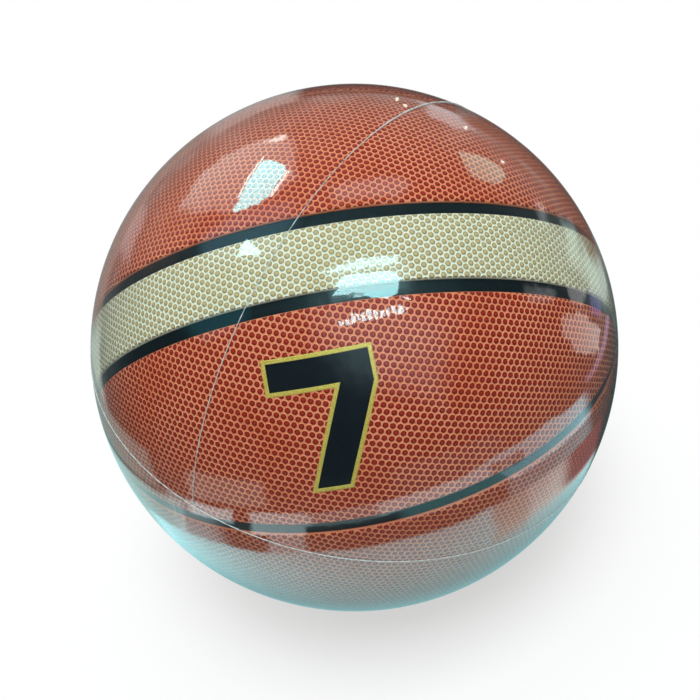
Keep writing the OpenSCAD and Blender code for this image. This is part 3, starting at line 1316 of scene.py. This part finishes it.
@dataclass
class Cover:
    """The twelve pebbled panels of the cover."""

    oval: Lattice = Lattice(19.0, 13.0)
    low_oval: Lattice = Lattice(19.0, -8.5)
    band: Lattice = Lattice(45.0, 0.0)
    crown: Lattice = Lattice(71.0, 9.5)

    def skins(self) -> list[Skin]:
        """The shapes, each built once.

        Returns:
            The five shapes.
        """
        every = (("front", "upper"), ("front", "lower"), ("back", "upper"), ("back", "lower"))
        return [
            Skin(PanelKind.OVAL, "oval", self.oval, every[:1], Numeral()),
            Skin(PanelKind.OVAL, "oval", self.low_oval, every[1:2]),
            Skin(PanelKind.NOTCHED_OVAL, "oval", self.oval, every[2:]),
            Skin(PanelKind.BAND, "band", self.band, every),
            Skin(PanelKind.CROWN, "crown", self.crown, every),
        ]

    def build(self) -> list[Piece]:
        """Builds each shape once and mirrors it to its quarters of the ball.

        Returns:
            The twelve pieces.
        """
        made: list[Piece] = []
        for skin in self.skins():
            shape = PebbledSkin(Outline(skin.kind), skin.lattice, skin.numeral)
            points, flat, inset, triangles = shape.closed()
            finish = skin.leather("_".join((*skin.quarters[0], skin.word, "leather"))).make()
            slot = "cream_cover" if skin.kind is PanelKind.BAND else "red_cover"
            for depth, height in skin.quarters:
                turn = np.array([1.0, -1.0 if depth == "back" else 1.0, -1.0 if height == "lower" else 1.0])
                stem = f"{depth}_{height}_{skin.word}"
                piece = make_piece(f"{stem}_skin", points * turn, triangles, flat, turn.prod() < 0, inset)
                made.append(finish_piece(piece, finish, slot, f"{stem}_panel"))
        return made


@dataclass
class ShrinkFilm:
    """The clear film with its welds, a short fold and the vent over the valve.

    Attributes:
        rows: rows of points down each wall.
        columns: points in a row.
        weld_r: radius of the level weld's bead, in millimetres.
        cross_r: radius of the upright weld's bead, in millimetres.
        bead_step: distance between points along a bead, in millimetres.
        bead_sides: points round a bead.
        level_pole: latitude and longitude of the level weld's pole, in degrees.
        cross_pole: direction of the upright weld's pole.
        cross_angle: angular radius of the upright weld, in degrees.
        gathered: direction in which the film is gathered, where the beads grow.
        fold: directions of the fold's two ends.
    """

    rows: int = 150
    columns: int = 300
    weld_r: float = 0.2
    cross_r: float = 0.15
    bead_step: float = 0.9
    bead_sides: int = 8
    level_pole: tuple[float, float] = (67.0, 69.0)
    cross_pole: tuple[float, ...] = (0.774, -0.547, -0.32)
    cross_angle: float = 85.1
    gathered: tuple[float, ...] = (0.432, -0.075, 0.899)
    fold: tuple[tuple[float, ...], ...] = ((-0.5573, -0.8259, 0.0861), (-0.5705, -0.8195, -0.054))

    def shell(self) -> Piece:
        """The film as two walls about the valve's axis, joined at the vent and closed at the front.

        A point at polar angle a from the vent and turn b is R (sin a cos b, cos a, sin a sin b). Rows run
        down the outer wall from the vent to the front and back up the inner wall.

        Returns:
            The piece.
        """
        a = np.linspace(math.asin(BALL.vent_r / BALL.film_in), math.pi, self.rows, endpoint=False)
        b = np.arange(self.columns) * math.tau / self.columns
        walls = []
        for radius, angles in ((BALL.film_out, a), (BALL.film_in, a[::-1])):
            sa, ca = np.sin(angles)[:, None], np.cos(angles)[:, None]
            grid = np.stack([sa * np.cos(b), ca * np.ones_like(b), sa * np.sin(b)], -1)
            walls.append(grid.reshape(-1, 3) * radius)
        points = np.concatenate([*walls, [[0, -BALL.film_out, 0], [0, -BALL.film_in, 0]]])
        bands = grid_faces(2 * self.rows, self.columns, True).reshape(2 * self.rows, self.columns, 4)
        quads = np.delete(bands, self.rows - 1, axis=0).reshape(-1, 4)
        n = self.rows * self.columns
        ring = np.arange(self.columns) + n
        caps = [fan(ring[::-1] - self.columns, 2 * n), fan(ring, 2 * n + 1)]
        return make_piece("shrink_film_shell", points, np.concatenate([halves(quads), *caps]))

    def bead(self, name: str, pole: Array, polar: float, radius: float,
             ends: tuple[float, float] | None = None) -> Piece:
        """A weld's bead: a small circle carried along the circle about a pole.

        The path is cos(r) pole + sin(r) (cos t e1 + sin t e2) at the film's radius, and the section is a
        ring in the plane of the outward direction and the pole. It swells and thins along the way.

        Args:
            name: the piece's name.
            pole: unit vector of the circle's pole.
            polar: angular radius of the circle, in degrees.
            radius: radius of the bead, in millimetres.
            ends: bearings of its two ends in radians, or None all the way round.

        Returns:
            The piece.
        """
        whole, sides = ends is None, self.bead_sides
        low, high = ends or (0.0, math.tau)
        count = int(abs(high - low) * BALL.film_out / self.bead_step)
        t = np.linspace(low, high, count, endpoint=not whole)
        out = on_circle(pole, math.radians(polar), t, axes(pole))
        side = pole - (out @ pole)[:, None] * out
        side /= np.linalg.norm(side, axis=1)[:, None]
        q = (np.arange(sides) * math.tau / sides)[None, :, None]
        gathered = smooth(0.93, 0.99, out @ np.array(self.gathered))
        swell = 0.25 * np.sin(t * 211) * np.sin(t * 67 + 1) + gathered * (1.1 + 0.4 * np.sin(t * 340))
        ring = np.cos(q) * out[:, None] + np.sin(q) * side[:, None]
        points = (out[:, None] * BALL.film_out + (radius * (1 + swell))[:, None, None] * ring).reshape(-1, 3)
        faces = halves(grid_faces(count, sides, whole))
        if not whole:
            points = np.concatenate([points, out[[0, -1]] * BALL.film_out])
            first, n = np.arange(sides), count * sides
            faces = np.concatenate([faces, fan(first, n), fan(first[::-1] + n - sides, n + 1)])
        return make_piece(name, points, faces)

    def build(self) -> list[Piece]:
        """Builds the shell, both welds and the fold.

        Returns:
            The four pieces.
        """
        level, cross = place(*self.level_pole), unit(np.array(self.cross_pole))
        start, end = np.array(self.fold)
        shell = finish_piece(self.shell(), ClearFilm().make(), "clear_film", "shrink_film")
        beads = [
            self.bead("level_weld", level, 90.0, self.weld_r),
            self.bead("upright_weld", cross, self.cross_angle, self.cross_r, self.cross_ends(level, cross)),
            self.bead("corner_fold", unit(np.cross(start, end)), 90.0, self.cross_r * 0.8, self.fold_ends()),
        ]
        milky = WeldedFilm().make()
        return [shell, *(finish_piece(piece, milky, "clear_film") for piece in beads)]

    def fold_ends(self) -> tuple[float, float]:
        """Bearings of the fold's ends about the pole of the great circle through them.

        Returns:
            Two bearings, in radians.
        """
        start, end = np.array(self.fold)
        e1, e2 = axes(unit(np.cross(start, end)))
        low, high = (math.atan2(p @ e2, p @ e1) for p in (start, end))
        return low, low + (high - low) % math.tau

    def cross_ends(self, level: Array, cross: Array) -> tuple[float, float]:
        """Bearings at which the upright weld meets the level one, with its way over the top between them.

        Args:
            level: pole of the level weld's circle.
            cross: pole of the upright weld's.

        Returns:
            Two bearings, in radians.
        """
        e1, e2 = axes(cross)
        r = math.radians(self.cross_angle)
        a, b, c = math.sin(r) * (e1 @ level), math.sin(r) * (e2 @ level), math.cos(r) * (cross @ level)
        middle, half = math.atan2(b, a), math.acos(max(-1.0, min(1.0, -c / math.hypot(a, b))))
        return middle - half, middle + half


@dataclass
class InnerLayers:
    """The solids that stay as they are: carcass, foams, winding, bladder and valve."""

    def finishes(self) -> dict[str, bpy.types.Material]:
        """The finish of each node, by the node's name or by its last word.

        Returns:
            The materials by name.
        """
        foam = PlainGrain("foam_underlay", srgb("eae6da"), srgb("d6d0be"), 900.0, 0.9).make()
        thread = PlainGrain("wound_thread", srgb("e4dcc4"), srgb("c9bea0"), 1500.0, 0.8).make()
        butyl = PlainGrain("butyl_rubber", srgb("303034"), srgb("232326"), 300.0, 0.5).make()
        valve = PlainGrain("valve_rubber", srgb("18191a"), srgb("101112"), 700.0, 0.55).make()
        return {"carcass": ChannelRubber().make(), "foam": foam, "thread_winding": thread,
                "air_bladder": butyl, "valve_pad": butyl, "valve_stem": valve, "valve_plug": valve}

    def build(self) -> int:
        """Gives each of them its finish.

        Returns:
            How many nodes were dressed.
        """
        finishes = self.finishes()
        count = 0
        for name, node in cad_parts.items():
            finish = finishes.get("foam" if name.endswith("_foam") else name)
            if finish is not None:
                node.data.materials.clear()
                node.data.materials.append(finish)
                count += 1
        return count


# Studio


@dataclass(frozen=True)
class SoftBox:
    """A square lamp of soft light that faces the ball and doesn't show in the gloss."""

    name: str = "overhead"
    azimuth: float = 10.0
    elevation: float = 65.0
    distance: float = 1.6
    size: float = 0.8
    radiance: float = 7.0
    tint: tuple[float, float, float] = (0.97, 1.0, 0.99)

    def make(self) -> Piece:
        """Places the lamp on its direction and turns it to the ball.

        Its power is radiance times area times 4, which is how an area lamp spreads its power.

        Returns:
            The lamp.
        """
        data = bpy.data.lights.new(self.name, "AREA")
        data.shape, data.size = "SQUARE", self.size
        data.energy, data.color = self.radiance * self.size ** 2 * 4, self.tint
        lamp = bpy.data.objects.new(self.name, data)
        way, across = place(self.elevation, self.azimuth), place(0, self.azimuth + 90)
        turn = Matrix((across, np.cross(way, across), way)).transposed().to_4x4()
        lamp.matrix_world = Matrix.Translation(Vector(way) * self.distance) @ turn
        lamp.visible_camera = lamp.visible_glossy = False
        bpy.context.scene.collection.objects.link(lamp)
        return lamp


@dataclass(frozen=True)
class Glow:
    """A patch of light far off in the room, with straight sides and no inward corner, as the film mirrors it.

    Attributes:
        tint: its colour and brightness.
        soft: width of its edge as an angle in radians.
        ragged: how far its edge wanders, in radians.
        corners: azimuth and elevation of each corner in degrees, anticlockwise as seen from the ball.
        dashes: spacing in radians at which it is broken up along its length, or 0 where it is whole.
    """

    tint: tuple[float, float, float]
    soft: float
    ragged: float
    corners: tuple[float, ...]
    dashes: float = 0.0

    def mask(self, n: Nodes, way: Socket, wander: Value) -> Value:
        """1 inside the patch and 0 outside, for a direction.

        A side from corner a to corner b lies in the plane with the normal a x b / |a x b|, so a direction's
        product with that normal is its angle inside the side, and the least of them its depth.

        Args:
            n: the world's nodes.
            way: the direction.
            wander: noise that makes the edge ragged.

        Returns:
            The mask.
        """
        points = np.array([place(lat, lon) for lon, lat in np.reshape(self.corners, (-1, 2))])
        depth = None
        for normal in np.cross(points, np.roll(points, -1, axis=0)):
            inside = n.dot(way, unit(normal))
            depth = inside if depth is None else depth.least(inside)
        mask = (depth + wander * self.ragged).smooth(-self.soft / 2, self.soft / 2)
        if self.dashes:
            lengths = points - points[0]
            longest = lengths[np.argmax(np.linalg.norm(lengths, axis=1))]
            along = n.dot(way, unit(longest)) + wander * 0.05
            off = along.wrap(self.dashes).math("ABSOLUTE")
            mask = mask * off.smooth(self.dashes * 0.42, self.dashes * 0.24)
        return mask


# The patches of light, each over those before it
ROOM = (
    # In front: the veil, and the key light from its halo to its glints
    Glow((0.42, 0.62, 0.68), 0.3, 0.2, (-7.8, 35, 3, 21.1, 34.3, 1.6, 47.7, 21.7, 36.7, 41.9, -7.3, 50.3)),
    Glow((0.7, 1.3, 1.4), 0.08, 0.12, (-0.3, 49.7, 41.4, 41.6, 51, 47.3, 51, 54.5, 15.9, 62.9, -1.2, 60.9)),
    Glow((4.2, 8, 8.6), 0.03, 0.08, (48.1, 52.8, 50.3, 54.6, 42.1, 59, 20.1, 62.8, -4.2, 61.7, 6.3, 60.4,
         25.8, 58.4)),
    Glow((4.6, 11.5, 12), 0.006, 0.018, (5.7, 53.5, 38.2, 46.2, 42.8, 46.7, 43.5, 50.3, 39.9, 52.8,
         10.7, 58.5, 3.3, 56.1)),
    Glow((6.2, 10.5, 10.8), 0.006, 0.012, (14.9, 50, 34.1, 44.6, 38.6, 44.7, 39.8, 46.5, 7.2, 53.9,
         0.3, 51.1)),
    Glow((5, 10.5, 11), 0.006, 0.05, (27, 44.9, 30.8, 43.2, 36.9, 43.6, 38.5, 45.2, 21.4, 49.3)),
    Glow((8, 10.5, 11), 0.004, 0.02, (39.9, 38, 41.1, 38, 37.5, 42.1, 36.2, 42.8)),
    Glow((7, 10.5, 11), 0.012, 0.09, (5.2, 39.1, 20.1, 38.1, 33, 35.6, 38.3, 36, 33.2, 39, 9.9, 42.6,
         2, 40.4), 0.042),
    # On the left: veils, the window with its bars, and the small window
    Glow((0.36, 0.29, 0.26), 0.18, 0.14, (-134.1, 49.6, -142.6, 40.3, -128.4, 20.9, -117.2, 19.2,
         -106.7, 29.1, -101.2, 40.9, -115.5, 46.5)),
    Glow((0.3, 0.66, 0.85), 0.12, 0.1, (-53.8, 60.8, -55.4, 79.3, -107, 79.6, -107.6, 61, -102.6, 47.4,
         -87.1, 46.2)),
    Glow((0.1, 0.45, 0.55), 0.08, 0.1, (-70.3, 33.1, -73.6, 26.4, -63.1, 27.2, -49.6, 35.1, -44.6, 47.6,
         -53.6, 45.4)),
    Glow((1.15, 1.28, 1.26), 0.05, 0.1, (-108.4, 58.7, -107.2, 63.9, -118.5, 72.2, -154.8, 73.2, -167.5, 60,
         -167.2, 47.2, -146.5, 38.2, -137.4, 34.9, -124.4, 34.5)),
    Glow((4, 4.2, 4), 0.02, 0.06, (-159.2, 49.4, -166.7, 50.1, -167.2, 47.2, -157.6, 46.1)),
    Glow((2.6, 9, 9.5), 0.006, 0.02, (-108.5, 63.7, -111, 67.6, -119.1, 70.6, -152.9, 68.4, -155.6, 65,
         -150.9, 56.4, -117, 59.6, -109, 59)),
    Glow((8, 9.5, 9.5), 0.005, 0.012, (-119.8, 59.5, -152.2, 55.4, -152.4, 54.5, -120, 58.9)),
    Glow((8, 9.5, 9.5), 0.005, 0.012, (-118.5, 72, -154.3, 69.4, -153.5, 68.6, -119.1, 71)),
    Glow((5.5, 10.5, 11), 0.01, 0.02, (-73.6, 56.7, -59.8, 62.7, -81.1, 62.7)),
    # On the right: veils and patches, from high to low
    Glow((1.1, 1.25, 1.25), 0.08, 0.1, (93.5, 84.8, 96, 64.6, 109.8, 58, 116.5, 60.9, 131.4, 75.7,
         151.2, 82.5)),
    Glow((0.95, 1.5, 1.3), 0.02, 0.05, (123.7, 35.3, 121.7, 31.2, 123.1, 25.9, 129, 20.4, 134.3, 20,
         136.1, 24.4, 136.9, 30.8, 135.6, 34.3)),
    Glow((0.75, 0.85, 0.9), 0.05, 0.1, (156.8, 25, 149, 24.2, 151.2, 16.1, 158.8, 10.3, 166.4, 5.5, 168, 11)),
    Glow((0.62, 0.78, 0.78), 0.03, 0.06, (155.5, 6, 150.6, 3.6, 156.2, -6, 160.1, -6.5, 162.4, -4,
         162.2, 1.1)),
    Glow((0.85, 0.85, 0.82), 0.02, 0.05, (146.3, 0.3, 148.1, -4.8, 156.3, -12.2, 157.7, -10, 153.4, -2.7)),
    Glow((0.8, 0.85, 0.85), 0.03, 0.08, (85.4, 7.4, 96, 0.2, 101.2, 0.7, 87.2, 12.1)),
    Glow((0.85, 0.85, 0.85), 0.03, 0.08, (105, -7.3, 111.3, -12, 117.9, -11.3, 106.6, -3)),
    Glow((1.05, 1, 0.98), 0.02, 0.14, (93.6, -10, 98.4, -17.5, 116.8, -25.5, 121.3, -22.3, 108.5, -11.3,
         96, -5.6)),
    Glow((0.55, 0.62, 0.6), 0.06, 0.1, (116.8, -2.2, 122.6, -14.2, 131.5, -18.3, 128.5, -7.3, 120.9, 1.6)),
    Glow((0.7, 0.8, 0.8), 0.04, 0.06, (118.2, 11.1, 120.4, 7.2, 128.9, 6.8, 127.4, 10.6)),
    Glow((0.5, 0.55, 0.6), 0.04, 0.06, (133.6, -4.6, 140.8, -10.3, 152.9, -13.4, 148.5, -8.5)),
    Glow((0.3, 0.3, 0.6), 0.04, 0.05, (120.7, -11.9, 117, -16.5, 125.1, -20.9, 130.4, -18.4)),
    Glow((0.5, 0.4, 0.56), 0.02, 0.03, (131.4, -23.3, 104.1, -27.8, 107.7, -29.8, 141.9, -26.5)),
    Glow((0.7, 0.95, 0.85), 0.06, 0.06, (130.1, -0.4, 116.8, -2.2, 123.4, -7, 134.9, -6.1)),
    Glow((0.72, 0.95, 0.86), 0.1, 0.08, (125.7, -8.6, 122.6, -14.2, 133.2, -21, 145, -22.8, 149.3, -18.3,
         138.1, -9.5)),
    Glow((0.62, 0.72, 0.68), 0.05, 0.05, (138.3, -13.6, 130.5, -19.9, 136.1, -22.1, 150.1, -19.6,
         155.5, -17.8)),
    # Behind: patches that show near the outline
    Glow((0.55, 0.5, 0.52), 0.06, 0.1, (-124.1, 12, -132.8, 16.8, -149.3, 3.1, -155.6, -9.9, -143.1, -3)),
    Glow((0.4, 0.34, 0.31), 0.05, 0.06, (-171, 16.9, -171.7, -3.2, -145.9, -19.1, -128.2, -8.7, -134.5, -0.6,
         -142, 6.3, -150.7, 11.7, -160.5, 15.3)),
    Glow((0.58, 0.7, 0.64), 0.08, 0.05, (-127.2, -8, -145.9, -19.1, -141.7, -32, -117.4, -28.2,
         -121.6, -17.8)),
    Glow((0.16, 0.086, 0.08), 0.05, 0.04, (-173.1, -3.2, -173.3, 17.7, 177.3, 16.7, 168.2, 14.1, 160, 9.9,
         171.1, -7.8)),
    Glow((0.56, 0.5, 0.48), 0.06, 0.05, (-173.3, 20, -173.1, -3.2, -163.8, -4.6, -156.6, 17.5, -164.8, 19.4)),
    Glow((0.21, 0.12, 0.1), 0.07, 0.06, (170.3, -8.3, 155.8, 13.3, 146.7, 5.8, 139.1, -3.1, 132.9, -13,
         158, -23.7)),
    # Flecks
    Glow((2.6, 2.7, 2.2), 0.008, 0, (167.2, 19.8, 168.8, 16.3, 168.8, 17.8, 167.2, 21.1)),
    Glow((2.6, 2.7, 2.2), 0.008, 0, (163, 24.1, 164.4, 21.7, 165, 22.3, 163.6, 24.5)),
    Glow((3, 3, 2.8), 0.008, 0, (152.2, 17.6, 150.3, 19.8, 150.3, 18.7, 152.4, 16.5)),
    Glow((4, 4.2, 4), 0.008, 0, (139.1, 16.5, 137.1, 17.9, 137.4, 16.8, 139.1, 15.5)),
)


@dataclass
class Studio:
    """Floor, world, lamp and camera."""

    distance: float = 2.9238
    lens: float = 37.3
    shift: tuple[float, float] = (-0.0064, -0.0036)
    right: tuple[float, ...] = (0.9792, 0.0052, -0.203)
    up: tuple[float, ...] = (0.1721, 0.5098, 0.8429)
    back: tuple[float, ...] = (0.1079, -0.8603, 0.4983)

    def camera(self) -> Piece:
        """The camera at the photograph's place, turned as it was.

        Returns:
            The camera.
        """
        data = bpy.data.cameras.new("camera")
        data.lens, data.sensor_width = self.lens, 36.0
        data.shift_x, data.shift_y = self.shift
        data.clip_start, data.clip_end = 0.01, 50.0
        camera = bpy.data.objects.new("camera", data)
        turn = Matrix((self.right, self.up, self.back)).transposed().to_4x4()
        spot = Vector(self.back) * self.distance * BALL.film_out * MM
        camera.matrix_world = Matrix.Translation(spot) @ turn
        bpy.context.scene.collection.objects.link(camera)
        bpy.context.scene.camera = camera
        return camera

    def floor(self, reach: float = 60000.0) -> Piece:
        """A wide pale floor under the ball, out to a reach in millimetres.

        Args:
            reach: half its width, in millimetres.

        Returns:
            The floor.
        """
        corners = np.array([[-reach, -reach, 0], [reach, -reach, 0], [reach, reach, 0], [-reach, reach, 0]])
        piece = make_piece("floor", corners - [0, 0, BALL.film_out], np.array([[0, 1, 2, 3]]))
        piece.data.materials.append(Floor().make())
        return piece

    def world(self) -> None:
        """Plain white behind the object, even soft light on it, and a dim room in its reflections.

        The room is dark in front, brighter and uneven behind, and has soft patches of light in it.
        """
        world = bpy.data.worlds.new("studio")
        bpy.context.scene.world = world
        world.use_nodes = True
        n = Nodes(world.node_tree)
        rays = n.add("LightPath").outputs
        way = n.out("TexCoord", output="Generated")
        wander = n.noise(way, 17.0, 4.0, 0.6) - 0.5
        uneven = n.noise(way, 7.0, 3.0).smooth(0.35, 0.7) * 0.6 + 0.5
        behind = n.dot(way, place(0, 180)).smooth(0.1, 0.95) * uneven
        low = n.dot(way, place(-30, -173)).smooth(0.84, 0.985) * 0.6
        room = n.mix(behind, (0.03, 0.05, 0.06, 1.0), (0.3, 0.34, 0.34, 1.0))
        room = n.mix(low, room, (0.46, 0.52, 0.53, 1.0))
        for glow in ROOM:
            room = n.mix(glow.mask(n, way, wander), room, (*glow.tint, 1.0))
        soft = n.out("Background", {"Color": (0.93, 1.0, 0.98, 1.0), "Strength": 0.62})
        white, mirrored = (n.out("Background", {"Color": colour}) for colour in (WHITE, room))
        inside = n.shade(rays["Is Glossy Ray"], soft, mirrored)
        n.add("OutputWorld", {"Surface": n.shade(straight(n, rays), inside, white)})

    def build(self) -> None:
        """Makes all of it, and sets the plain view."""
        self.camera()
        self.floor()
        self.world()
        SoftBox().make()
        bpy.context.scene.view_settings.view_transform = "Standard"


def main() -> None:
    """Builds the pieces in order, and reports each."""
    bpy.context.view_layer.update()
    Studio().build()
    LOG.info("studio built")
    for piece in (*Cover().build(), *ShrinkFilm().build()):
        LOG.info("%s: %d triangles", piece.name, len(piece.data.polygons))
    LOG.info("inner layers dressed: %d", InnerLayers().build())


if __name__ == "__main__":
    main()
